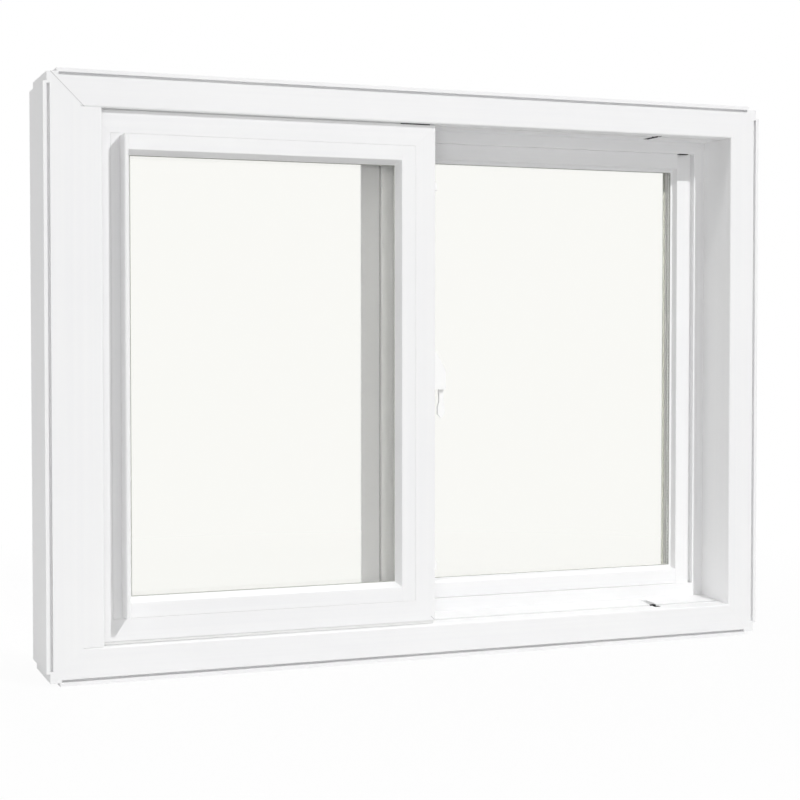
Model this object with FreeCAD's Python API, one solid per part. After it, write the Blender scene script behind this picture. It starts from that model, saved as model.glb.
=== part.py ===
import FreeCAD, Part
import math
import os

# A horizontal sliding window of white vinyl: a welded frame, one fixed lite and one sash that slides.
# Millimetres. X runs along the width, Y from the room to the outside, Z up.
# The origin is at the bottom, in the middle of the overall box.

# Frame
frame_width = 800.0
frame_height = 597.0
frame_depth = 82.6
lip_thickness = 3.6        # thin lip round the outside of the front
groove_depth = 6.0
groove_width = 2.9         # groove between lip and front face
lip_end = 13.0             # the lip stops this far from each outer corner
groove_inset = 2.0         # and the groove stops this much further in
face_reach = 36.0          # outer edge to the inner edge of the front face
face_round = 2.0           # rounded inner edge of the front face, except on the left jamb
edge_share = 0.45          # share of a thin wall that each of its two rounded edges takes
step_height = 13.0         # step on head and jambs, inwards from the reveal
sill_step_extra = 4.2      # the step is this much taller on the sill
sill_step_depth = 5.5      # thickness of that taller part
sill_flat = 10.0           # level part of the sill behind its front face
sill_rise = 3.5            # the sill then slopes up by this much to the step
rear_leg = 2.0             # thickness of the outside glazing leg
leg_height = 18.0          # height of that leg over the rebate floor
right_leg_extra = 10.0     # the leg reaches this much further in on the right jamb

# Track
track_setback = 22.0       # front face to the middle of the guide groove
track_width = 5.0
track_depth = 9.0          # below the reveal surface
drain_x = 277.0            # cross slot in sill and head
drain_width = 8.0
drain_setback = 13.0       # front face to the near end of that slot
drain_length = 34.0
drain_depth = 14.0

# Sash
sash_left_gap = 8.0        # left jamb reveal to the closed sash
sash_right = 8.6           # right edge of the closed sash, from the middle of the window
sash_bottom_gap = 3.0      # over the sill's front edge
sash_top_gap = 1.0         # under the head
sash_setback = 7.0         # frame face to sash face
sash_depth = 30.0
sash_relief = 2.0          # the outer edge tapers off by this much towards the back
sash_rail = 22.0           # outer flat of the sash rails and stiles
sash_leg = 4.0             # outside glazing leg
sash_leg_height = 12.0

# Glazing beads
bead_face = 15.5           # flat of a sash bead
bead_bevel = 5.0           # bevel down to the glass
bead_depth = 9.3           # sash face to glass
bead_joint = 0.6           # small chamfer that shows as the joint line
fixed_joint = 0.35         # the same on the fixed lite
bead_round = 1.0
fixed_bead_setback = 5.5   # step face to the face of the fixed lite's bead
fixed_bead_face = 16.5
fixed_bead_bevel = 2.2
fixed_bead_depth = 8.1
fixed_ledge = 2.2          # flat ledge between the bevel and the glass
fixed_ledge_depth = 0.6    # its thickness over the glass
right_groove = 2.5         # open groove between the right-hand bead and the jamb's step
right_groove_depth = 2.5

# Pull lip on the left bead of the sash
pull_height = 20.0         # proud of the sash face
pull_thickness = 4.5
pull_offset = 9.3          # joint line to the lip
pull_trim = 2.8            # the lip stops this far short of each end of its bead

# Glass
pane = 3.0
glass_gap = 0.3            # gasket space at each face of a unit
glass_edge_gap = 4.0       # sash unit to its rebate floor
fixed_unit_depth = 10.0    # the fixed lite's panes, air space and gaskets
fixed_glass_bite = 9.5     # how far the fixed unit reaches behind its beads
spacer_width = 10.0        # spacer and edge seal, in the sash

# Fixed meeting stile
stile_left = -53.8
stile_rebate = -14.0
stile_gap = 9.0            # back of the sash to its front face
stile_face_left = -40.8    # left edge of its front face; from there a slanted flange runs back
stile_slant = 19.0         # depth of that slant
stile_flange = 3.0         # thickness of the flange at its left edge
stile_body = -43.0         # left side of the body behind that flange
stile_groove_x = -39.8     # narrow groove in the front face
stile_groove = 1.4
stile_groove_depth = 3.0
stile_leg_reach = 18.0
seal_x = -18.5
seal_width = 6.0
seal_gap = 0.6             # pile seal to the back of the sash

# Cover strip on the left jamb
cover_width = 20.5
cover_thickness = 2.0
cover_leg = 3.0
cover_leg_depth = 30.0

# Glides and top guides of the sash
glide_length = 60.0
glide_inset = 45.0
glide_side_gap = 0.3
glide_floor_gap = 0.3
glide_seat = 8.0           # height let into the rail

# Latch on the edge of the sash meeting stile
latch_rise = 23.5          # middle of the sash to the top of the latch
latch_height = 40.0
latch_reach = 14.5
latch_pivot = 11.5         # stile edge to the lever's pivot
latch_setback = 6.0        # sash face to the front of the latch base
latch_depth = 14.0
latch_wall = 3.0
latch_back_wall = 1.5      # sash edge to the lever's slot
latch_shoulder = 20.0      # top of the latch to where its side runs straight
latch_top_reach = 3.8      # reach of its narrow top
latch_slot_height = 14.0
lever_thickness = 4.0
lever_stem = 5.0
lever_head = 8.0
lever_length = 37.6        # pivot to tip
lever_neck = 21.0
lever_gap = 0.5
pivot_radius = 1.6
bumper_height = 9.0
bumper_reach = 3.5
bumper_depth = 8.0
bumper_setback = 3.0       # sash face to the front of a bumper
lower_bumper_inset = 58.0  # bottom of the sash to the middle of the lower bumper
upper_bumper_inset = 63.0  # top of the sash to the middle of the upper one

# Worked out from the values above
pull_proud = pull_height - sash_setback
front = -(frame_depth - pull_proud) / 2
half_width = frame_width / 2
step_reach = face_reach + step_height
leg_setback = frame_depth - rear_leg
fixed_glass = leg_setback - fixed_unit_depth
fixed_bead_front = fixed_glass - fixed_bead_depth
reveal_depth = fixed_bead_front - fixed_bead_setback   # front face to the step behind the sash
sash_left = -half_width + face_reach + sash_left_gap
sash_bottom = face_reach + sash_bottom_gap
sash_top = frame_height - face_reach - sash_top_gap
sash_back = sash_setback + sash_depth
sash_glass = sash_setback + bead_depth
stile_setback = sash_back + stile_gap

vector = FreeCAD.Vector
os.makedirs("parts", exist_ok=True)


def save(node, shape):
    shape = shape.removeSplitter()
    if not shape.isValid() or len(shape.Solids) != 1:
        raise ValueError(node + " is not one sound solid")
    shape.exportStep("parts/" + node + ".step")
    return shape


def box(x0, x1, d0, d1, z0, z1):
    """A box between two X values, two depths behind the front face and two heights."""
    return Part.makeBox(x1 - x0, d1 - d0, z1 - z0, vector(x0, front + d0, z0))


def outline(points, place):
    """A face through points (a, b) or (a, b, radius), which place turns into space."""
    count = len(points)
    edges = []
    ends = []
    for k in range(count):
        here = vector(points[k][0], points[k][1], 0)
        radius = points[k][2] if len(points[k]) > 2 else 0.0
        before = vector(points[k - 1][0], points[k - 1][1], 0) - here
        after = vector(points[(k + 1) % count][0], points[(k + 1) % count][1], 0) - here
        if radius == 0.0:
            ends.append((here, here, here))
            continue
        before.normalize()
        after.normalize()
        half = before.getAngle(after) / 2
        cut = radius / math.tan(half)
        middle = before + after
        middle.normalize()
        centre = here + middle * (radius / math.sin(half))
        ends.append((here + before * cut, centre - middle * radius, here + after * cut))
    for k in range(count):
        first, mid, last = ends[k]
        if first != last:
            edges.append(Part.Arc(place(first), place(mid), place(last)).toShape())
        edges.append(Part.LineSegment(place(last), place(ends[(k + 1) % count][0])).toShape())
    return Part.Face(Part.Wire(edges))


class Ring:
    """A rectangle of four bars whose section is given as (depth, distance in from the outer edge)."""

    def __init__(self, left, right, bottom, top):
        self.left, self.right = left, right
        self.bottom, self.top = bottom, top

    def bar(self, side, section, mitred=True, start=0.0, end=0.0):
        """One bar; start and end shorten it at its left or bottom end and at its right or top end."""
        width = self.right - self.left
        height = self.top - self.bottom
        if side in ("top", "bottom"):
            sign = 1 if side == "bottom" else -1
            edge = self.bottom if side == "bottom" else self.top

            def place(p):
                return vector(self.left + start, front + p.x, edge + sign * p.y)
            run = vector(width - start - end, 0, 0)
        else:
            sign = 1 if side == "left" else -1
            edge = self.left if side == "left" else self.right

            def place(p):
                return vector(edge + sign * p.y, front + p.x, self.bottom + start)
            run = vector(0, 0, height - start - end)
        solid = outline(section, place).extrude(run)
        return solid.common(self.mitre(side)) if mitred else solid

    def mitre(self, side):
        """A prism that holds one side of the ring, cut at 45 degrees at both corners."""
        reach = min(self.right - self.left, self.top - self.bottom) / 2
        corners = {
            "top": ((self.left, self.top), (self.right, self.top)),
            "bottom": ((self.left, self.bottom), (self.right, self.bottom)),
            "left": ((self.left, self.bottom), (self.left, self.top)),
            "right": ((self.right, self.bottom), (self.right, self.top)),
        }[side]
        inward = {"top": (0, -1), "bottom": (0, 1), "left": (1, 0), "right": (-1, 0)}[side]
        (x0, z0), (x1, z1) = corners
        along = (0 if x0 == x1 else 1, 0 if z0 == z1 else 1)
        loop = [
            (x0, z0),
            (x1, z1),
            (x1 + reach * (inward[0] - along[0]), z1 + reach * (inward[1] - along[1])),
            (x0 + reach * (inward[0] + along[0]), z0 + reach * (inward[1] + along[1])),
        ]
        near = front - frame_depth
        far = front + 2 * frame_depth
        wire = Part.makePolygon([vector(x, near, z) for x, z in loop + loop[:1]])
        return Part.Face(wire).extrude(vector(0, far - near, 0))


# Frame: head, sill and jambs share one section and are welded at mitred corners
frame_ring = Ring(-half_width, half_width, 0.0, frame_height)
face_start = lip_thickness + groove_width


def frame_section(edge_round):
    return [
        (0, 0),
        (0, lip_thickness),
        (groove_depth, lip_thickness),
        (groove_depth, face_start),
        (0, face_start),
        (0, face_reach, edge_round),
        (reveal_depth, face_reach),
        (reveal_depth, step_reach),
        (leg_setback, step_reach),
        (leg_setback, step_reach + leg_height),
        (frame_depth, step_reach + leg_height),
        (frame_depth, 0),
    ]


def frame_bar(side, edge_round=face_round):
    """A bar whose groove is filled, and whose lip is cut away, near its corners."""
    bar = frame_ring.bar(side, frame_section(edge_round), False)
    inside = box(-half_width + lip_thickness, half_width - lip_thickness, 0, frame_depth,
                 lip_thickness, frame_height - lip_thickness)
    for x in (-half_width, half_width - lip_end):
        for z in (0.0, frame_height - lip_end):
            corner = box(x, x + lip_end, 0, frame_depth, z, z + lip_end)
            filler = box(x - groove_inset, x + lip_end + groove_inset, 0, groove_depth,
                         z - groove_inset, z + lip_end + groove_inset)
            bar = bar.fuse(filler.common(inside)).cut(corner.cut(inside))
    return bar.common(frame_ring.mitre(side))


track_front = track_setback - track_width / 2
track_floor = face_reach - track_depth
reveal_left = -half_width + face_reach
reveal_right = half_width - face_reach


def sill():
    bar = frame_bar("bottom")
    slope = outline(
        [(sill_flat, face_reach), (reveal_depth, face_reach), (reveal_depth, face_reach + sill_rise)],
        lambda p: vector(reveal_left, front + p.x, p.y),
    ).extrude(vector(reveal_right - reveal_left, 0, 0))
    riser = box(-half_width + step_reach, half_width - step_reach,
                reveal_depth, reveal_depth + sill_step_depth,
                step_reach, step_reach + sill_step_extra)
    bar = bar.fuse([slope, riser])
    track = box(reveal_left, reveal_right, track_front, track_front + track_width,
                track_floor, face_reach + sill_rise)
    drain = box(drain_x, drain_x + drain_width, drain_setback, drain_setback + drain_length,
                face_reach - drain_depth, face_reach + sill_rise)
    return bar.cut([track, drain])


def head():
    bar = frame_bar("top")
    under = frame_height - face_reach
    track = box(reveal_left, reveal_right, track_front, track_front + track_width,
                under, under + track_depth)
    drain = box(drain_x, drain_x + drain_width, drain_setback, drain_setback + drain_length,
                under, under + drain_depth)
    return bar.cut([track, drain])


frame_sill = save("frame_sill", sill())
frame_head = save("frame_head", head())
frame_left_jamb = save("frame_left_jamb", frame_bar("left", edge_round=0.0))
leg_edge = step_reach + leg_height
right_leg = box(half_width - leg_edge - right_leg_extra, half_width - leg_edge,
                leg_setback, frame_depth, leg_edge, frame_height - leg_edge)
save("frame_right_jamb", frame_bar("right").fuse(right_leg))

# Cover strip: a thin plate in the plane of the front face, with a leg along the left jamb
cover_section = [
    (0, face_reach),
    (0, face_reach + cover_width, 2 * edge_share * cover_thickness),
    (cover_thickness, face_reach + cover_width),
    (cover_thickness, face_reach + cover_leg),
    (cover_leg_depth, face_reach + cover_leg),
    (cover_leg_depth, face_reach),
]
cover = frame_ring.bar("left", cover_section, False, face_reach, face_reach)
save("left_jamb_cover", cover.cut([frame_sill, frame_head, frame_left_jamb]))

# Fixed meeting stile: stands between sill and head, with a rebate for the fixed lite on its right
stile_plan = [
    (stile_left, stile_setback + stile_slant),
    (stile_face_left, stile_setback),
    (stile_groove_x, stile_setback),
    (stile_groove_x, stile_setback + stile_groove_depth),
    (stile_groove_x + stile_groove, stile_setback + stile_groove_depth),
    (stile_groove_x + stile_groove, stile_setback),
    (stile_rebate, stile_setback),
    (stile_rebate, leg_setback),
    (stile_rebate + stile_leg_reach, leg_setback),
    (stile_rebate + stile_leg_reach, frame_depth),
    (stile_body, frame_depth),
    (stile_body, stile_setback + stile_slant + stile_flange),
    (stile_left, stile_setback + stile_slant + stile_flange),
]
stile = outline(stile_plan, lambda p: vector(p.x, front + p.y, face_reach)).extrude(
    vector(0, 0, frame_height - 2 * face_reach))
save("fixed_meeting_stile", stile.cut([frame_sill, frame_head]))

seal_foot = face_reach + sill_rise * (stile_setback - sill_flat) / (reveal_depth - sill_flat)
save("meeting_seal", box(seal_x - seal_width / 2, seal_x + seal_width / 2,
                         sash_back + seal_gap, stile_setback,
                         seal_foot, frame_height - face_reach))

# Fixed lite: beads, two panes and the spacer between them
fixed_ring = Ring(stile_rebate, half_width - step_reach,
                  step_reach + sill_step_extra, frame_height - step_reach)


def bead_section(face_front, glass_front, flat, bevel):
    return [
        (face_front + bead_joint, 0),
        (face_front, bead_joint),
        (face_front, flat, bead_round),
        (glass_front, flat + bevel),
        (glass_front, 0),
    ]


def ledge_section(shift):
    """The fixed lite's bead without its outer corner, moved inwards by shift."""
    bevel_end = shift + fixed_bead_face + fixed_bead_bevel
    return [
        (fixed_bead_front, shift + fixed_bead_face, bead_round),
        (fixed_glass - fixed_ledge_depth, bevel_end),
        (fixed_glass - fixed_ledge_depth, bevel_end + fixed_ledge),
        (fixed_glass, bevel_end + fixed_ledge),
        (fixed_glass, 0),
    ]


fixed_section = [(fixed_bead_front + fixed_joint, 0), (fixed_bead_front, fixed_joint)] + ledge_section(0)
right_section = [
    (fixed_bead_front + right_groove_depth, 0),
    (fixed_bead_front + right_groove_depth, right_groove),
    (fixed_bead_front, right_groove),
] + ledge_section(right_groove)
fixed_sight = fixed_bead_face + fixed_bead_bevel + fixed_ledge
right_sight = right_groove + fixed_sight
left_bead = save("fixed_bead_left", fixed_ring.bar("left", fixed_section, False))
right_bead = save("fixed_bead_right", fixed_ring.bar("right", right_section, False))
for side in ("top", "bottom"):
    bead = fixed_ring.bar(side, fixed_section, False, fixed_bead_face, right_groove + fixed_bead_face)
    save("fixed_bead_" + side, bead.cut([left_bead, right_bead]))   # coped over the upright beads


def glazing(name, ring, glass_front, glass_back, band):
    """Two panes and four spacer bars that fill a unit between two depths."""
    depths = {"inner": glass_front, "outer": glass_back - pane}
    for place, depth in depths.items():
        save(name + "_" + place + "_pane",
             box(ring.left, ring.right, depth, depth + pane, ring.bottom, ring.top))
    near = glass_front + pane
    far = glass_back - pane
    section = [(near, 0), (near, band), (far, band), (far, 0)]
    for side in ("left", "right"):
        save(name + "_spacer_" + side, ring.bar(side, section, False))
    for side in ("top", "bottom"):
        save(name + "_spacer_" + side, ring.bar(side, section, False, band, band))


fixed_unit = Ring(
    fixed_ring.left + fixed_sight - fixed_glass_bite,
    fixed_ring.right - right_sight + fixed_glass_bite,
    fixed_ring.bottom + fixed_sight - fixed_glass_bite,
    fixed_ring.top - fixed_sight + fixed_glass_bite,
)
glazing("fixed", fixed_unit, fixed_glass + glass_gap, leg_setback - glass_gap, fixed_glass_bite)

# Sash: four mitred bars, four beads and its own glass
sash_ring = Ring(sash_left, sash_right, sash_bottom, sash_top)
sash_section = [
    (sash_setback, 0, bead_round),
    (sash_setback, sash_rail),
    (sash_back - sash_leg, sash_rail),
    (sash_back - sash_leg, sash_rail + sash_leg_height),
    (sash_back, sash_rail + sash_leg_height),
    (sash_back, sash_relief),
    (track_setback + track_width / 2, 0),
]
glide_front = track_front + glide_side_gap
glide_back = track_front + track_width - glide_side_gap
glide_lefts = (sash_left + glide_inset, sash_right - glide_inset - glide_length)
glide_floor = track_floor + glide_floor_gap
guide_top = frame_height - face_reach + track_depth - glide_floor_gap


def glide(left):
    return box(left, left + glide_length, glide_front, glide_back, glide_floor, sash_bottom + glide_seat)


def guide(left):
    return box(left, left + glide_length, glide_front, glide_back, sash_top - glide_seat, guide_top)


bottom_rail = sash_ring.bar("bottom", sash_section).cut([glide(left) for left in glide_lefts])
top_rail = sash_ring.bar("top", sash_section).cut([guide(left) for left in glide_lefts])
save("sash_bottom_rail", bottom_rail)
save("sash_top_rail", top_rail)
save("sash_pull_stile", sash_ring.bar("left", sash_section))
save("sash_meeting_stile", sash_ring.bar("right", sash_section))
for name, left in zip(("left", "right"), glide_lefts):
    save("sash_glide_" + name, glide(left))
    save("sash_guide_" + name, guide(left))

bead_ring = Ring(sash_left + sash_rail, sash_right - sash_rail,
                 sash_bottom + sash_rail, sash_top - sash_rail)
sash_bead = bead_section(sash_setback, sash_glass, bead_face, bead_bevel)
pull_tip = sash_setback - pull_height
pull_section = [
    (sash_setback + bead_joint, 0),
    (sash_setback, bead_joint),
    (sash_setback, pull_offset, bead_round),
    (pull_tip, pull_offset, edge_share * pull_thickness),
    (pull_tip, pull_offset + pull_thickness, edge_share * pull_thickness),
    (sash_setback, bead_face),
    (sash_glass, bead_face + bead_bevel),
    (sash_glass, 0),
]
pull_ends = [
    box(bead_ring.left, bead_ring.left + bead_face, pull_tip, sash_setback, foot, foot + pull_trim)
    for foot in (bead_ring.bottom, bead_ring.top - pull_trim)
]


def end_joints(left):
    """Wedges that chamfer both ends of an upright bead's flat, from left over the flat's width."""
    wedges = []
    for end, inward in ((bead_ring.bottom, 1), (bead_ring.top, -1)):
        corner = [
            (sash_setback, end),
            (sash_setback + bead_joint, end),
            (sash_setback, end + inward * bead_joint),
        ]
        wedge = outline(corner, lambda p: vector(left, front + p.x, p.y))
        wedges.append(wedge.extrude(vector(bead_face, 0, 0)))
    return wedges


pull_bead = bead_ring.bar("left", pull_section, False).cut(pull_ends + end_joints(bead_ring.left))
meeting_bead = bead_ring.bar("right", sash_bead, False).cut(end_joints(bead_ring.right - bead_face))
save("sash_pull_bead", pull_bead)
save("sash_bead_meeting", meeting_bead)
for side in ("top", "bottom"):
    bead = bead_ring.bar(side, sash_bead, False, bead_face, bead_face)
    save("sash_bead_" + side, bead.cut([pull_bead, meeting_bead]))   # coped over the upright beads

sash_unit = Ring(
    bead_ring.left + glass_edge_gap,
    bead_ring.right - glass_edge_gap,
    bead_ring.bottom + glass_edge_gap,
    bead_ring.top - glass_edge_gap,
)
glazing("sash", sash_unit, sash_glass + glass_gap, sash_back - sash_leg - glass_gap, spacer_width)

# Latch: a hollow base on the stile's edge and a lever that swings in its slot
latch_top = (sash_bottom + sash_top) / 2 + latch_rise
latch_bottom = latch_top - latch_height
latch_front = sash_setback + latch_setback
base_outline = [
    (sash_right, latch_bottom),
    (sash_right + latch_reach, latch_bottom, bead_round),
    (sash_right + latch_reach, latch_top - latch_shoulder, latch_reach),
    (sash_right + latch_top_reach, latch_top, bead_round),
    (sash_right, latch_top),
]
latch_base = outline(base_outline, lambda p: vector(p.x, front + latch_front, p.y)).extrude(
    vector(0, latch_depth, 0))
lever_front = latch_front + (latch_depth - lever_thickness) / 2
pivot_x = sash_right + latch_pivot
pivot_z = latch_bottom + latch_slot_height / 2
latch_slot = box(sash_right + latch_back_wall, sash_right + latch_reach + latch_wall,
                 lever_front - lever_gap, lever_front + lever_thickness + lever_gap,
                 latch_bottom, latch_bottom + latch_slot_height)
pin = Part.makeCylinder(pivot_radius, latch_depth - 2 * latch_wall,
                        vector(pivot_x, front + latch_front + latch_wall, pivot_z), vector(0, 1, 0))
save("latch_base", latch_base.cut(latch_slot).fuse(pin))

lever_tip = pivot_z - lever_length
lever_outline = [
    (pivot_x - lever_stem / 2, pivot_z + lever_stem / 2, edge_share * lever_stem),
    (pivot_x + lever_stem / 2, pivot_z + lever_stem / 2, edge_share * lever_stem),
    (pivot_x + lever_stem / 2, pivot_z - lever_neck),
    (pivot_x + lever_head / 2, pivot_z - lever_neck - lever_head / 2),
    (pivot_x + lever_head / 2, lever_tip + lever_head / 2),
    (pivot_x, lever_tip),
    (pivot_x - lever_head / 2, lever_tip + lever_head / 2),
    (pivot_x - lever_head / 2, pivot_z - lever_neck - lever_head / 2),
    (pivot_x - lever_stem / 2, pivot_z - lever_neck),
]
lever = outline(lever_outline, lambda p: vector(p.x, front + lever_front, p.y)).extrude(
    vector(0, lever_thickness, 0))
bore = Part.makeCylinder(pivot_radius + lever_gap / 2, lever_thickness,
                         vector(pivot_x, front + lever_front, pivot_z), vector(0, 1, 0))
save("latch_lever", lever.cut(bore))

# Two small bumpers on the same edge
bumper_front = sash_setback + bumper_setback
bumper_middles = {"lower": sash_bottom + lower_bumper_inset, "upper": sash_top - upper_bumper_inset}
for name, middle in bumper_middles.items():
    bumper_plan = [
        (sash_right, bumper_front),
        (sash_right + bumper_reach, bumper_front, bead_round),
        (sash_right + bumper_reach, bumper_front + bumper_depth, bead_round),
        (sash_right, bumper_front + bumper_depth),
    ]
    foot = middle - bumper_height / 2
    bumper_foot = outline(bumper_plan, lambda p: vector(p.x, front + p.y, foot))
    save("stile_bumper_" + name, bumper_foot.extrude(vector(0, 0, bumper_height)))
print("latch pivot", pivot_x, front + lever_front + lever_thickness / 2, pivot_z)
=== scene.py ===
import bpy
import math
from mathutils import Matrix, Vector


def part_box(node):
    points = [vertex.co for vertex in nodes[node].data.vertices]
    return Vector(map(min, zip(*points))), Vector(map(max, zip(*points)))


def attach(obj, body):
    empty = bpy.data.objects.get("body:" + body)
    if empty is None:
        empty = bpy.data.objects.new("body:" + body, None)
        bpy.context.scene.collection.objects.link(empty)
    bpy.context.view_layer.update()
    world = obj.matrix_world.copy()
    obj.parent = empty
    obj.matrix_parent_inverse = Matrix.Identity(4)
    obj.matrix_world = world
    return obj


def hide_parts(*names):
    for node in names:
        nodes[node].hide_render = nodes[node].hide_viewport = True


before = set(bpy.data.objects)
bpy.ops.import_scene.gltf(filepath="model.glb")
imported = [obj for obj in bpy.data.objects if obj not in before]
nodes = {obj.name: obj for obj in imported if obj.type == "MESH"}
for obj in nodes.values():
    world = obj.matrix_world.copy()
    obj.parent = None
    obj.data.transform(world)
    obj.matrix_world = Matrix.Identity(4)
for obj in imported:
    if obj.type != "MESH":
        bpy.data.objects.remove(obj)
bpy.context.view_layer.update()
mm = 0.001
print("frame loaded:", len(nodes), "nodes")


# small helpers for nodes, colours and modelling

def hexColour(text):
    # sRGB hex to linear
    channels = [int(text[k:k + 2], 16) / 255 for k in (1, 3, 5)]
    linear = [c / 12.92 if c <= 0.04045 else ((c + 0.055) / 1.055) ** 2.4 for c in channels]
    return (*linear, 1.0)


def addNode(tree, kind, settings=None, values=None, links=None):
    node = tree.nodes.new(kind)
    for name, value in (settings or {}).items():
        setattr(node, name, value)
    for socket, value in (values or {}).items():
        node.inputs[socket].default_value = value
    for socket, source in (links or {}).items():
        tree.links.new(source, node.inputs[socket])
    return node


def startMaterial(name, shaderValues):
    material = bpy.data.materials.new(name)
    material.use_nodes = True
    tree = material.node_tree
    tree.nodes.clear()
    shader = addNode(tree, "ShaderNodeBsdfPrincipled", values=shaderValues)
    addNode(tree, "ShaderNodeOutputMaterial", links={"Surface": shader.outputs["BSDF"]})
    place = addNode(tree, "ShaderNodeTexCoord").outputs["Object"]
    return material, tree, shader, place


def deselectAll():
    if bpy.context.object and bpy.context.object.mode != "OBJECT":
        bpy.ops.object.mode_set(mode="OBJECT")
    bpy.ops.object.select_all(action="DESELECT")


def settle(piece, name):
    # puts the place, turn and scale into the mesh and leaves the object at the origin
    deselectAll()
    piece.select_set(True)
    bpy.context.view_layer.objects.active = piece
    bpy.ops.object.transform_apply(location=True, rotation=True, scale=True)
    piece.name = name
    piece.data.name = name
    return piece


def applyModifier(piece, kind, settings):
    deselectAll()
    piece.select_set(True)
    bpy.context.view_layer.objects.active = piece
    modifier = piece.modifiers.new(kind.lower(), kind)
    for name, value in settings.items():
        setattr(modifier, name, value)
    bpy.ops.object.modifier_apply(modifier=modifier.name)


def roundEdges(piece, width):
    applyModifier(piece, "BEVEL", {"width": width, "segments": 2})


def addBlock(name, middle, size, turn=(0, 0, 0)):
    deselectAll()
    bpy.ops.mesh.primitive_cube_add(size=1, location=middle, rotation=turn, scale=size)
    return settle(bpy.context.object, name)


def lowCorner(node):
    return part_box(node)[0]


def highCorner(node):
    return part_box(node)[1]


# finishes

ior = {"vinyl": 1.53, "plastic": 1.5, "rubber": 1.5, "glass": 1.52}


def perSize(size):
    # the texture scale that gives features of this many millimetres
    return 1 / (size * mm)


def addNoise(tree, place, scale, detail, roughness=0.5):
    noise = addNode(tree, "ShaderNodeTexNoise",
                    values={"Scale": scale, "Detail": detail, "Roughness": roughness},
                    links={"Vector": place})
    return noise.outputs["Fac"]


def addTone(tree, shader, factor, colours, ends=(0.0, 1.0)):
    # the base colour runs from the first colour to the second as the factor passes its two ends
    ramp = addNode(tree, "ShaderNodeValToRGB", links={"Fac": factor})
    for stop, position, colour in zip(ramp.color_ramp.elements, ends, colours):
        stop.position = position
        stop.color = hexColour(colour)
    tree.links.new(ramp.outputs["Color"], shader.inputs["Base Color"])
    return ramp.outputs["Color"]


def addGloss(tree, shader, factor, roughness):
    gloss = addNode(tree, "ShaderNodeMapRange", values={"To Min": roughness[0], "To Max": roughness[1]},
                    links={"Value": factor})
    tree.links.new(gloss.outputs["Result"], shader.inputs["Roughness"])


def addBump(tree, shader, factor, strength, height, settings=None):
    # height is in millimetres
    bump = addNode(tree, "ShaderNodeBump", settings, {"Strength": strength, "Distance": height * mm},
                   {"Height": factor})
    tree.links.new(bump.outputs["Normal"], shader.inputs["Normal"])


def extrudedVinyl(name, along, look):
    # white PVC drawn through a die: satin, with faint straight die lines along each bar
    # and a slow drift of tone where the melt cooled unevenly
    material, tree, shader, place = startMaterial(name, {
        "IOR": ior["vinyl"],
        "Specular IOR Level": look["specular"],
    })
    lineScale = [perSize(look["lineSpacing"])] * 3
    lineScale["xyz".index(along)] = perSize(look["lineLength"])
    stretched = addNode(tree, "ShaderNodeMapping", values={"Scale": lineScale}, links={"Vector": place})
    lines = addNoise(tree, stretched.outputs["Vector"], scale=1.0, detail=2.0)
    drift = addNoise(tree, place, perSize(look["driftSize"]), detail=2.0)
    blend = addNode(tree, "ShaderNodeMix", {"data_type": "FLOAT"}, {"Factor": look["lineShare"]},
                    {"A": drift, "B": lines})
    addTone(tree, shader, blend.outputs["Result"], (look["shade"], look["colour"]), look["toneEnds"])
    addGloss(tree, shader, lines, look["roughness"])
    addBump(tree, shader, lines, look["lineStrength"], look["lineHeight"])
    return material


def mouldedPlastic(name, look):
    # injection-moulded plastic with a spark-eroded mould: an even fine grain that dulls the gloss
    material, tree, shader, place = startMaterial(name, {"IOR": ior["plastic"]})
    grain = addNoise(tree, place, perSize(look["grain"]), detail=3.0, roughness=0.6)
    addTone(tree, shader, grain, (look["shade"], look["colour"]))
    addGloss(tree, shader, grain, look["roughness"])
    addBump(tree, shader, grain, look["grainStrength"], look["grainHeight"])
    return material


def floatGlass(name, look):
    # clear soda-lime float glass: fire-polished and flat, with a trace of warm tint
    # and a very slow roller wave that only bends reflections
    material, tree, shader, place = startMaterial(name, {
        "Base Color": hexColour(look["colour"]),
        "IOR": ior["glass"],
        "Transmission Weight": 1.0,
        "Roughness": 0.0,
    })
    wave = addNoise(tree, place, perSize(look["waveLength"]), detail=0.0)
    addBump(tree, shader, wave, look["waveStrength"], look["waveHeight"])
    path = addNode(tree, "ShaderNodeLightPath")  # lamp light passes straight through the pane
    clear = addNode(tree, "ShaderNodeBsdfTransparent", values={"Color": hexColour(look["lampColour"])})
    both = addNode(tree, "ShaderNodeMixShader",
                   links={0: path.outputs["Is Shadow Ray"], 1: shader.outputs["BSDF"],
                          2: clear.outputs["BSDF"]})
    output = next(node for node in tree.nodes if node.type == "OUTPUT_MATERIAL")
    tree.links.new(both.outputs["Shader"], output.inputs["Surface"])
    return material


def spacerAluminium(name, look):
    # roll-formed aluminium under pale grey lacquer, with rows of pin-hole breathers: dull and even
    material, tree, shader, place = startMaterial(name, {})
    brush = addNoise(tree, place, perSize(look["brush"]), detail=2.0)
    holes = addNode(tree, "ShaderNodeTexVoronoi", {"feature": "F1"},
                    {"Scale": perSize(look["holePitch"]), "Randomness": 0.0},
                    {"Vector": place})
    holeEdge = look["holeShare"] + look["holeRim"]
    holeMask = addNode(tree, "ShaderNodeMapRange",
                       values={"From Min": look["holeShare"], "From Max": holeEdge},
                       links={"Value": holes.outputs["Distance"]})
    lacquer = addTone(tree, shader, brush, (look["shade"], look["colour"]))
    punched = addNode(tree, "ShaderNodeMix", {"data_type": "RGBA"},
                      {"A": hexColour(look["holeColour"])},
                      {"Factor": holeMask.outputs["Result"], "B": lacquer})
    tree.links.new(punched.outputs["Result"], shader.inputs["Base Color"])
    addGloss(tree, shader, brush, look["roughness"])
    return material


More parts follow.
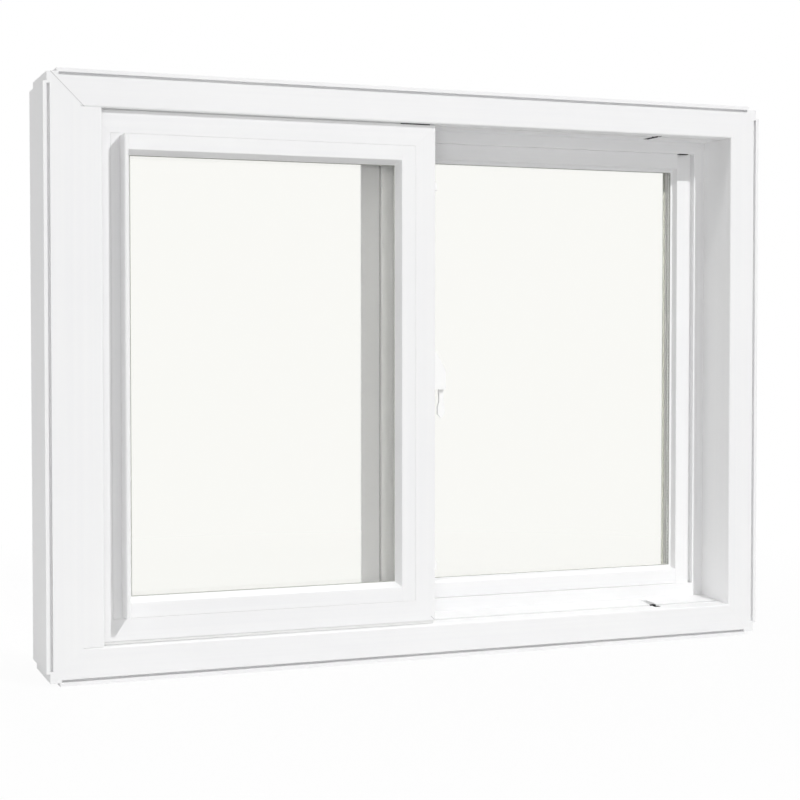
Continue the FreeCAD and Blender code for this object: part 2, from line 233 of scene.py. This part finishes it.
def pileFibre(name, look):
    # polypropylene pile: soft grey bristle, streaked darker along the fibres
    material, tree, shader, place = startMaterial(name, {
        "Roughness": 0.9,
        "Sheen Weight": 0.3,
    })
    fibreScale = (perSize(look["fibre"]), perSize(look["fibreLength"]), perSize(look["fibre"]))
    stretched = addNode(tree, "ShaderNodeMapping", values={"Scale": fibreScale}, links={"Vector": place})
    fibres = addNoise(tree, stretched.outputs["Vector"], scale=1.0, detail=2.0)
    addTone(tree, shader, fibres, (look["shade"], look["colour"]))
    addBump(tree, shader, fibres, look["fibreStrength"], look["fibreHeight"])
    return material


def gasketRubber(name, look):
    # extruded rubber or foam tape: dull and grey, with a powdery bloom
    material, tree, shader, place = startMaterial(name, {"IOR": ior["rubber"]})
    bloom = addNoise(tree, place, perSize(look["bloom"]), detail=3.0)
    addTone(tree, shader, bloom, (look["shade"], look["colour"]))
    addGloss(tree, shader, bloom, look["roughness"])
    return material


def flexibleVinyl(name, look):
    # soft PVC run onto the rail: duller than the hard vinyl, with slow ripples along the lip
    material, tree, shader, place = startMaterial(name, {"IOR": ior["vinyl"], "Roughness": 0.6})
    ripple = addNoise(tree, place, perSize(look["ripple"]), detail=1.0)
    addTone(tree, shader, ripple, (look["shade"], look["colour"]))
    addBump(tree, shader, ripple, look["rippleStrength"], look["rippleHeight"])
    return material


def scrapedVinyl(name, look):
    # weld bead pared flush with a knife: dull, greyer than the skin, with fine scrape marks
    material, tree, shader, place = startMaterial(name, {"IOR": ior["vinyl"]})
    marks = addNoise(tree, place, perSize(look["marks"]), detail=4.0, roughness=0.7)
    addTone(tree, shader, marks, (look["shade"], look["colour"]))
    addGloss(tree, shader, marks, look["roughness"])
    return material


def paintedShadeFoam(name, look):
    # charcoal reticulated polyurethane: black pores between thin grey struts; its near-black is painted
    # shade in the slots and gaps it fills
    material, tree, shader, place = startMaterial(name, {"Roughness": 0.95, "Specular IOR Level": 0.2})
    cells = addNode(tree, "ShaderNodeTexVoronoi", {"feature": "DISTANCE_TO_EDGE"},
                    {"Scale": perSize(look["pore"])}, {"Vector": place})
    toWall = cells.outputs["Distance"]
    addTone(tree, shader, toWall, (look["strut"], look["hollow"]), (0.0, look["strutShare"]))
    addBump(tree, shader, toWall, look["poreStrength"], look["pore"] / 2, {"invert": True})
    return material


def flangedVinyl(name, along, look, flange):
    # the same vinyl with painted shade on the slanted flange behind the sash: a flat grey,
    # and a darker line of painted shade along the groove at the flange's edge;
    # right and back are where the painted shade ends, in the window's own frame
    material = extrudedVinyl(name, along, look)
    tree = material.node_tree
    shader = next(node for node in tree.nodes if node.type == "BSDF_PRINCIPLED")
    white = shader.inputs["Base Color"].links[0].from_socket
    place = addNode(tree, "ShaderNodeTexCoord").outputs["Object"]
    parts = addNode(tree, "ShaderNodeSeparateXYZ", links={"Vector": place})
    # painted shade masks: the flange left of the groove, and the groove itself
    flangeShadeMask = addNode(tree, "ShaderNodeMath", {"operation": "LESS_THAN"}, {1: flange["right"] * mm},
                     {0: parts.outputs["X"]})
    before = addNode(tree, "ShaderNodeMath", {"operation": "LESS_THAN"}, {1: flange["back"] * mm},
                     {0: parts.outputs["Y"]})
    grooveShadeMask = addNode(tree, "ShaderNodeMath", {"operation": "COMPARE"},
                       {1: flange["right"] * mm, 2: flange["grooveShadeReach"] * mm},
                       {0: parts.outputs["X"]})
    colour = white
    for mask, layer in ((flangeShadeMask, flange["colour"]), (grooveShadeMask, flange["grooveShade"])):
        share = addNode(tree, "ShaderNodeMath", {"operation": "MULTIPLY"},
                        links={0: mask.outputs["Value"], 1: before.outputs["Value"]})
        covered = addNode(tree, "ShaderNodeMix", {"data_type": "RGBA"}, {"B": hexColour(layer)},
                          {"Factor": share.outputs["Value"], "A": colour})
        colour = covered.outputs["Result"]
    tree.links.new(colour, shader.inputs["Base Color"])
    return material


vinylLook = {
    "colour": "#F5F5F5", "shade": "#F1F1F2", "toneEnds": (0.3, 0.7), "specular": 0.4,
    "lineSpacing": 2.6, "lineLength": 420, "lineShare": 0.45, "lineStrength": 0.35, "lineHeight": 0.03,
    "driftSize": 140, "roughness": (0.34, 0.44),
}
stileLook = {**vinylLook, "colour": "#F7F7F8", "shade": "#F4F4F5"}
finishes = {
    "vinylAlongX": extrudedVinyl("extrudedVinylAcross", "x", vinylLook),
    "vinylAlongZ": extrudedVinyl("extrudedVinylUpright", "z", vinylLook),
    # the flange's grey and the groove's darker grey are painted shade
    "stile": flangedVinyl("extrudedVinylShadedFlange", "z", stileLook, {
        "colour": "#C5C5C7", "right": -40.3, "back": 31.0, "grooveShade": "#A9A9AB", "grooveShadeReach": 0.7,
    }),
    "plastic": mouldedPlastic("mouldedAcetal", {
        "colour": "#FBFBFA", "shade": "#F7F7F6", "grain": 0.9, "grainStrength": 0.5, "grainHeight": 0.04,
        "roughness": (0.38, 0.5),
    }),
    "nylon": mouldedPlastic("mouldedNylon", {
        "colour": "#E4E3DC", "shade": "#DAD9D1", "grain": 1.2, "grainStrength": 0.5, "grainHeight": 0.05,
        "roughness": (0.5, 0.62),
    }),
    "glass": floatGlass("floatGlass", {
        "colour": "#FCFCFA", "lampColour": "#FEFEFE",
        "waveLength": 260, "waveStrength": 0.2, "waveHeight": 0.02,
    }),
    "spacer": spacerAluminium("paintedAluminium", {
        "colour": "#F4F5F4", "shade": "#EDEFEE", "holeColour": "#C6C8C8", "brush": 1.1,
        "holePitch": 4.0, "holeShare": 0.18, "holeRim": 0.08, "roughness": (0.4, 0.55),
    }),
    "pile": pileFibre("pileFibre", {
        "colour": "#A9AAA8", "shade": "#6F706F",
        "fibre": 0.5, "fibreLength": 5, "fibreStrength": 0.6, "fibreHeight": 0.1,
    }),
    "gasket": gasketRubber("epdmGasket", {
        "colour": "#B2B3AB", "shade": "#A5A69E", "bloom": 3.0, "roughness": (0.55, 0.75),
    }),
    "tape": gasketRubber("foamTape", {
        "colour": "#A4A69D", "shade": "#969890", "bloom": 2.0, "roughness": (0.55, 0.75),
    }),
    "fin": flexibleVinyl("flexibleVinyl", {
        "colour": "#EDEDEC", "shade": "#E4E4E3",
        "ripple": 12.0, "rippleStrength": 0.3, "rippleHeight": 0.05,
    }),
    "weld": scrapedVinyl("scrapedVinyl", {
        "colour": "#D6D6D6", "shade": "#CBCBCC", "marks": 0.8, "roughness": (0.5, 0.8),
    }),
    # black foam that puts painted shade into slots and gaps
    "foam": paintedShadeFoam("paintedShadeFoam", {
        "strut": "#303030", "hollow": "#0E0E0E", "strutShare": 0.25, "pore": 0.9, "poreStrength": 0.8,
    }),
}
acrossNodes = (
    "frame_head", "frame_sill", "fixed_bead_top", "fixed_bead_bottom",
    "sash_top_rail", "sash_bottom_rail", "sash_bead_top", "sash_bead_bottom",
)


def finishOf(node):
    if node.endswith("_pane"):
        return finishes["glass"]
    if "_spacer_" in node:
        return finishes["spacer"]
    if "_glide_" in node or "_guide_" in node:
        return finishes["nylon"]
    if node.startswith("latch") or node.startswith("stile_bumper"):
        return finishes["plastic"]
    if node == "meeting_seal":
        return finishes["pile"]
    if node == "fixed_meeting_stile":
        return finishes["stile"]
    return finishes["vinylAlongX"] if node in acrossNodes else finishes["vinylAlongZ"]


for nodeName, nodeObject in nodes.items():
    nodeObject.data.materials.clear()
    nodeObject.data.materials.append(finishOf(nodeName))
print("finishes given to every node")


# glazing gaskets: a thin rubber ring where each unit meets its bead or leg,
# and the foam tape that the fixed unit is bedded on

gasket = {"finish": "gasket", "width": 0.7, "proud": 0.5, "round": 0.2}
tape = {"finish": "tape", "width": 2.4, "proud": 0.24, "round": 0.05, "lift": 0.03}


def gasketRing(name, body, size, left, right, bottom, top, glassY, outwards):
    # outwards is -1 on the room side and +1 on the outside
    deselectAll()
    middle = ((left + right) / 2, glassY, (bottom + top) / 2)
    bpy.ops.mesh.primitive_plane_add(size=1, location=middle, rotation=(math.pi / 2, 0, 0))
    ring = bpy.context.object
    bpy.ops.transform.resize(value=(right - left, 1, top - bottom))
    settle(ring, name)
    bpy.ops.object.mode_set(mode="EDIT")
    bpy.ops.mesh.select_all(action="SELECT")
    bpy.ops.mesh.inset(thickness=size["width"] * mm, depth=0)
    bpy.ops.mesh.delete(type="FACE")  # the inset leaves the middle selected
    bpy.ops.mesh.select_all(action="SELECT")
    bpy.ops.mesh.extrude_region_move(
        TRANSFORM_OT_translate={"value": (0, outwards * size["proud"] * mm, 0)})
    bpy.ops.mesh.select_all(action="SELECT")
    bpy.ops.mesh.normals_make_consistent(inside=False)
    bpy.ops.object.mode_set(mode="OBJECT")
    roundEdges(ring, size["round"] * mm)
    ring.data.materials.append(finishes[size["finish"]])
    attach(ring, body)


gasketRing("sash_gasket_room", "sash", gasket,
           highCorner("sash_pull_bead").x, lowCorner("sash_bead_meeting").x,
           highCorner("sash_bead_bottom").z, lowCorner("sash_bead_top").z,
           lowCorner("sash_inner_pane").y, -1)
gasketRing("sash_gasket_outside", "sash", gasket,
           highCorner("sash_pull_stile").x, lowCorner("sash_meeting_stile").x,
           highCorner("sash_bottom_rail").z, lowCorner("sash_top_rail").z,
           highCorner("sash_outer_pane").y, 1)
gasketRing("fixed_gasket_room", "frame", gasket,
           highCorner("fixed_bead_left").x, lowCorner("fixed_bead_right").x,
           highCorner("fixed_bead_bottom").z, lowCorner("fixed_bead_top").z,
           lowCorner("fixed_inner_pane").y, -1)
gasketRing("fixed_gasket_outside", "frame", gasket,
           highCorner("fixed_meeting_stile").x, lowCorner("frame_right_jamb").x,
           highCorner("frame_sill").z, lowCorner("frame_head").z,
           highCorner("fixed_outer_pane").y, 1)
tapeWidth = tape["width"] * mm
gasketRing("fixed_glazing_tape", "frame", tape,
           highCorner("fixed_meeting_stile").x - tapeWidth, lowCorner("frame_right_jamb").x + tapeWidth,
           highCorner("frame_sill").z - tapeWidth, lowCorner("frame_head").z + tapeWidth,
           highCorner("fixed_outer_pane").y + tape["lift"] * mm, 1)
print("gaskets made")


# weld seams: where mitred corners were fused and the bead pared off

seam = {
    "width": 0.8, "proud": 0.12, "roundShare": 0.9,
    "frameReach": (3.6, 36.0),  # from the outer corner, along either side
    "sashReach": (1.6, 21.0), "sashNick": (0.9, 5.0),
}


def weldSeam(name, body, finish, corner, inward, faceY, reach):
    # corner is the outer corner (x, z); inward holds the signs that lead from it into the bar
    middle = sum(reach) / 2 * mm
    length = (reach[1] - reach[0]) * mm * math.sqrt(2)
    place = (corner[0] + inward[0] * middle, faceY, corner[1] + inward[1] * middle)
    size = (length, 2 * seam["proud"] * mm, seam["width"] * mm)
    strip = addBlock(name, place, size, (0, -inward[0] * inward[1] * math.pi / 4, 0))
    roundEdges(strip, seam["proud"] * mm * seam["roundShare"])
    strip.data.materials.append(finish)
    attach(strip, body)


def weldCorners(prefix, body, low, high, faceY, reach, greySeams):
    # greySeams holds the corners whose seam shows grey, each with its own reach
    for sideName, x, inX in (("left", low.x, 1), ("right", high.x, -1)):
        for levelName, z, inZ in (("top", high.z, -1), ("bottom", low.z, 1)):
            place = levelName + "_" + sideName
            finish = finishes["weld"] if place in greySeams else finishes["vinylAlongX"]
            weldSeam(prefix + place, body, finish, (x, z), (inX, inZ), faceY,
                     greySeams.get(place, reach))


frameLow = lowCorner("frame_sill")
frameHigh = highCorner("frame_head")
weldCorners("weld_seam_", "frame", frameLow, frameHigh, frameLow.y, seam["frameReach"],
            {"top_left": seam["frameReach"]})
sashLow = lowCorner("sash_bottom_rail")
sashHigh = highCorner("sash_top_rail")
weldCorners("sash_seam_", "sash", sashLow, sashHigh, sashLow.y, seam["sashReach"],
            {"bottom_right": seam["sashNick"]})
print("weld seams made")


# fin seals: soft strips along the sash's rails that close the running gaps

fin = {
    "setback": 1.2, "depth": 1.6, "inset": 1.5, "round": 0.25,
    "clear": 0.25, "root": 0.8, "sillLevel": 36.0,
}


def finSeal(name, rail, bottom, top):
    low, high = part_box(rail)
    near = low.y + fin["setback"] * mm
    middle = ((low.x + high.x) / 2, near + fin["depth"] * mm / 2, (bottom + top) / 2)
    size = (high.x - low.x - 2 * fin["inset"] * mm, fin["depth"] * mm, top - bottom)
    strip = addBlock(name, middle, size)
    roundEdges(strip, fin["round"] * mm)
    strip.data.materials.append(finishes["fin"])
    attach(strip, "sash")


sashTop = sashHigh.z
headUnder = highCorner("left_jamb_cover").z  # the cover strip reaches up to the head
finSeal("fin_seal_top", "sash_top_rail", sashTop - fin["root"] * mm, headUnder - fin["clear"] * mm)
finSeal("fin_seal_bottom", "sash_bottom_rail", (fin["sillLevel"] + fin["clear"]) * mm,
        sashLow.z + fin["root"] * mm)
print("fin seals made")


# weep slots and gaps in painted shade: black foam plugs sit in the cross slots in the sill and the head,
# a black foam pad sits in the gap over the fixed bead's upper right corner,
# and a black foam plug sits in the running gap at the sash's upper right end, each darkening it as shade
# would

plug = {
    "left": 277.0, "width": 8.0,
    "front": 13.0, "trackFront": 19.5, "trackBack": 24.5, "sillBack": 29.0, "headBack": 47.0,
    "height": 9.0, "sillRise": 0.05, "sillBackRise": 0.7, "headRise": 0.25,
    "sideGap": 0.3, "rough": 0.15, "cuts": 7,
}
cornerShadePad = {"left": 331.8, "width": 11.9, "front": 57.2, "back": 62.6, "height": 0.75}
gapShadePlug = {
    "length": 33.0, "endGap": 6.0, "setback": 0.1, "depth": 1.7,
    "lift": 0.06, "clear": 0.14, "rough": 0.05,
}


# a black foam block that puts painted shade into a slot or gap
def shadePlug(name, body, left, width, near, far, bottom, top, rough, seed):
    # left is millimetres to the right of the window's middle, near and far are millimetres
    # behind the front of the frame, bottom and top are metres
    gap = plug["sideGap"]
    middle = ((left + width / 2) * mm, frameLow.y + (near + far) / 2 * mm, (bottom + top) / 2)
    size = ((width - 2 * gap) * mm, (far - near - 2 * gap) * mm, top - bottom)
    block = addBlock(name, middle, size)
    bpy.ops.object.mode_set(mode="EDIT")
    bpy.ops.mesh.select_all(action="SELECT")
    bpy.ops.mesh.subdivide(number_cuts=plug["cuts"])
    bpy.ops.transform.vertex_random(offset=rough * mm, seed=seed)  # torn cell walls
    bpy.ops.object.mode_set(mode="OBJECT")
    block.data.materials.append(finishes["foam"])
    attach(block, body)


sillTop = fin["sillLevel"] * mm
plugHeight = plug["height"] * mm
headLow = headUnder + plug["headRise"] * mm
headHigh = headUnder + plugHeight
sillLow = sillTop - plugHeight
frontSpan = (plug["front"], plug["trackFront"])
# name, span from front to back, bottom, top and seed
weepShadeFoam = (
    ("sill_weep_shade_foam", frontSpan, sillLow, sillTop + plug["sillRise"] * mm, 1),
    ("sill_weep_shade_foam_back", (plug["trackBack"], plug["sillBack"]),
     sillLow, sillTop + plug["sillBackRise"] * mm, 4),
    ("head_weep_shade_foam_front", frontSpan, headLow, headHigh, 2),
    ("head_weep_shade_foam_back", (plug["trackBack"], plug["headBack"]), headLow, headHigh, 3),
)
for foamName, span, foamBottom, foamTop, foamSeed in weepShadeFoam:
    shadePlug(foamName, "frame", plug["left"], plug["width"], *span, foamBottom, foamTop,
             plug["rough"], foamSeed)
# painted shade: a black foam pad in the gap over the fixed bead's corner
beadTop = highCorner("fixed_bead_top").z
shadePlug("bead_corner_shade_foam", "frame", cornerShadePad["left"], cornerShadePad["width"],
         cornerShadePad["front"], cornerShadePad["back"], beadTop - cornerShadePad["height"] * mm,
         beadTop - plug["rough"] * mm, plug["rough"], seed=5)
# painted shade: a black foam plug in the sash's running gap
sashFront = (sashLow.y - frameLow.y) / mm + gapShadePlug["setback"]
plugLeft = sashHigh.x / mm - gapShadePlug["endGap"] - gapShadePlug["length"]
shadePlug("sash_gap_shade_plug", "sash", plugLeft, gapShadePlug["length"], sashFront,
         sashFront + gapShadePlug["depth"], sashTop + gapShadePlug["lift"] * mm,
         headUnder - gapShadePlug["clear"] * mm, gapShadePlug["rough"], seed=6)
print("foam plugs made")


# pile seal: a woven backing on the fixed stile with a row of tufts that brush the sash

pile = {
    "backing": 0.9, "round": 0.25, "tuftWidth": 3.6, "pitch": 1.5, "tuftShare": 0.8,
    "tip": (0.7, 1.0, 0.55),  # how far each tuft narrows towards the sash
}


def makePileSeal():
    low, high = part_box("meeting_seal")
    middle = (low.x + high.x) / 2
    foot = high.y - pile["backing"] * mm
    backing = addBlock("pile_seal", (middle, (foot + high.y) / 2, (low.z + high.z) / 2),
                       (high.x - low.x, high.y - foot, high.z - low.z))
    roundEdges(backing, pile["round"] * mm)
    pitch = pile["pitch"] * mm
    halfway = (low.y + foot) / 2
    tufts = addBlock("pile_tufts", (middle, halfway, low.z + pitch / 2),
                     (pile["tuftWidth"] * mm, foot - low.y, pitch * pile["tuftShare"]))
    for point in tufts.data.vertices:
        point.select = point.co.y < halfway  # the tip, towards the sash
    bpy.ops.object.mode_set(mode="EDIT")
    bpy.ops.transform.resize(value=pile["tip"], center_override=(middle, low.y, low.z + pitch / 2))
    bpy.ops.object.mode_set(mode="OBJECT")
    applyModifier(tufts, "ARRAY", {
        "count": int((high.z - low.z) / pitch), "use_relative_offset": False,
        "use_constant_offset": True, "constant_offset_displace": (0, 0, pitch),
    })
    deselectAll()
    tufts.select_set(True)
    backing.select_set(True)
    bpy.context.view_layer.objects.active = backing
    bpy.ops.object.join()
    backing.data.materials.append(finishes["pile"])
    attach(backing, "frame")
    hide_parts("meeting_seal")


makePileSeal()
print("pile seal made")


# floor, world, lamps and camera

stage = {
    "floorSize": 6.0, "floorColour": "#E2E2E2", "shadowShare": 0.08, "shadowReach": 1.1,
    "fillFront": 0.17, "fillBack": 0.53, "fillTop": 0.535,
}
lamps = {
    "keyLamp": {"place": (0.7175, -1.772, 1.794), "power": 20.4, "radius": 0.015},
    "sideLamp": {"place": (-2.6, -0.3, 1.5), "power": 3.7, "radius": 0.15},
    "frontLamp": {"place": (-0.94, -1.77, 0.7), "power": 4.1, "radius": 0.3},
}
bounces = {
    "max_bounces": 24, "diffuse_bounces": 8,
    "transmission_bounces": 16, "transparent_max_bounces": 16,
}
pureWhite = hexColour("#FFFFFF")


def backgroundRays(tree):
    # 1 where the camera looks straight at the background, or at it in a mirror or through glass
    path = addNode(tree, "ShaderNodeLightPath")
    seen = addNode(tree, "ShaderNodeMath", {"operation": "MAXIMUM"},
                   links={0: path.outputs["Is Camera Ray"], 1: path.outputs["Is Glossy Ray"]})
    return addNode(tree, "ShaderNodeMath", {"operation": "MAXIMUM"},
                   links={0: seen.outputs["Value"], 1: path.outputs["Is Transmission Ray"]})


def makeFloor():
    deselectAll()
    bpy.ops.mesh.primitive_plane_add(size=stage["floorSize"])
    floor = bpy.context.object
    floor.name = "floor"
    material = bpy.data.materials.new("paperFloor")
    material.use_nodes = True
    tree = material.node_tree
    tree.nodes.clear()
    paper = addNode(tree, "ShaderNodeBsdfDiffuse", values={"Color": hexColour(stage["floorColour"])})
    white = addNode(tree, "ShaderNodeEmission", values={"Color": pureWhite, "Strength": 1.0})
    place = addNode(tree, "ShaderNodeTexCoord").outputs["Object"]
    away = addNode(tree, "ShaderNodeVectorMath", {"operation": "LENGTH"}, links={0: place})
    paperWhite = addNode(tree, "ShaderNodeMapRange",
                         values={"From Max": stage["shadowReach"], "To Min": 1 - stage["shadowShare"]},
                         links={"Value": away.outputs["Value"]})
    whiteShare = addNode(tree, "ShaderNodeMath", {"operation": "MULTIPLY"},
                         links={0: backgroundRays(tree).outputs["Value"],
                                1: paperWhite.outputs["Result"]})
    both = addNode(tree, "ShaderNodeMixShader",
                   links={0: whiteShare.outputs["Value"], 1: paper.outputs["BSDF"],
                          2: white.outputs["Emission"]})
    addNode(tree, "ShaderNodeOutputMaterial", links={"Surface": both.outputs["Shader"]})
    floor.data.materials.append(material)


def makeWorld():
    world = bpy.data.worlds.new("studio")
    world.use_nodes = True
    bpy.context.scene.world = world
    tree = world.node_tree
    tree.nodes.clear()
    direction = addNode(tree, "ShaderNodeTexCoord").outputs["Generated"]
    parts = addNode(tree, "ShaderNodeSeparateXYZ", links={"Vector": direction})
    # soft boxes in front of the window, behind it and overhead
    boxes = (("Y", -stage["fillFront"]), ("Y", stage["fillBack"]), ("Z", stage["fillTop"]))
    fills = [addNode(tree, "ShaderNodeMath", {"operation": "MULTIPLY", "use_clamp": True}, {1: share},
                     {0: parts.outputs[axis]}) for axis, share in boxes]
    level = addNode(tree, "ShaderNodeMath", {"operation": "ADD"},
                    links={0: fills[0].outputs["Value"], 1: fills[1].outputs["Value"]})
    strength = addNode(tree, "ShaderNodeMath", {"operation": "ADD"},
                       links={0: level.outputs["Value"], 1: fills[2].outputs["Value"]})
    fill = addNode(tree, "ShaderNodeBackground", values={"Color": pureWhite},
                   links={"Strength": strength.outputs["Value"]})
    white = addNode(tree, "ShaderNodeBackground", values={"Color": pureWhite, "Strength": 1.0})
    both = addNode(tree, "ShaderNodeMixShader",
                   links={0: backgroundRays(tree).outputs["Value"], 1: fill.outputs["Background"],
                          2: white.outputs["Background"]})
    addNode(tree, "ShaderNodeOutputWorld", links={"Surface": both.outputs["Shader"]})


def makeLamp(name, look):
    light = bpy.data.lights.new(name, "POINT")
    light.energy = look["power"]
    light.shadow_soft_size = look["radius"]
    light.use_nodes = True
    tree = light.node_tree
    tree.nodes.clear()
    even = addNode(tree, "ShaderNodeLightFalloff", values={"Strength": 1.0})  # as bright near as far
    glow = addNode(tree, "ShaderNodeEmission", links={"Strength": even.outputs["Constant"]})
    addNode(tree, "ShaderNodeOutputLight", links={"Surface": glow.outputs["Emission"]})
    lamp = bpy.data.objects.new(name, light)
    lamp.location = look["place"]
    bpy.context.scene.collection.objects.link(lamp)


camera = {
    "place": (-0.66236, -1.65257, 0.34277), "yaw": 21.224, "pitch": 1.758,
    "lens": 75.167, "sensor": 36.0, "shiftY": -0.0198,
}


def makeCamera():
    lens = bpy.data.cameras.new("camera")
    lens.lens = camera["lens"]
    lens.sensor_width = camera["sensor"]
    lens.shift_y = camera["shiftY"]
    viewer = bpy.data.objects.new("camera", lens)
    viewer.location = camera["place"]
    viewer.rotation_euler = (math.radians(90 - camera["pitch"]), 0, math.radians(-camera["yaw"]))
    bpy.context.scene.collection.objects.link(viewer)
    bpy.context.scene.camera = viewer


makeFloor()
makeWorld()
for lampName, lampLook in lamps.items():
    makeLamp(lampName, lampLook)
makeCamera()
for bounceName, bounceCount in bounces.items():
    setattr(bpy.context.scene.cycles, bounceName, bounceCount)
bpy.context.scene.view_settings.view_transform = "Standard"
print("floor, light and camera set")
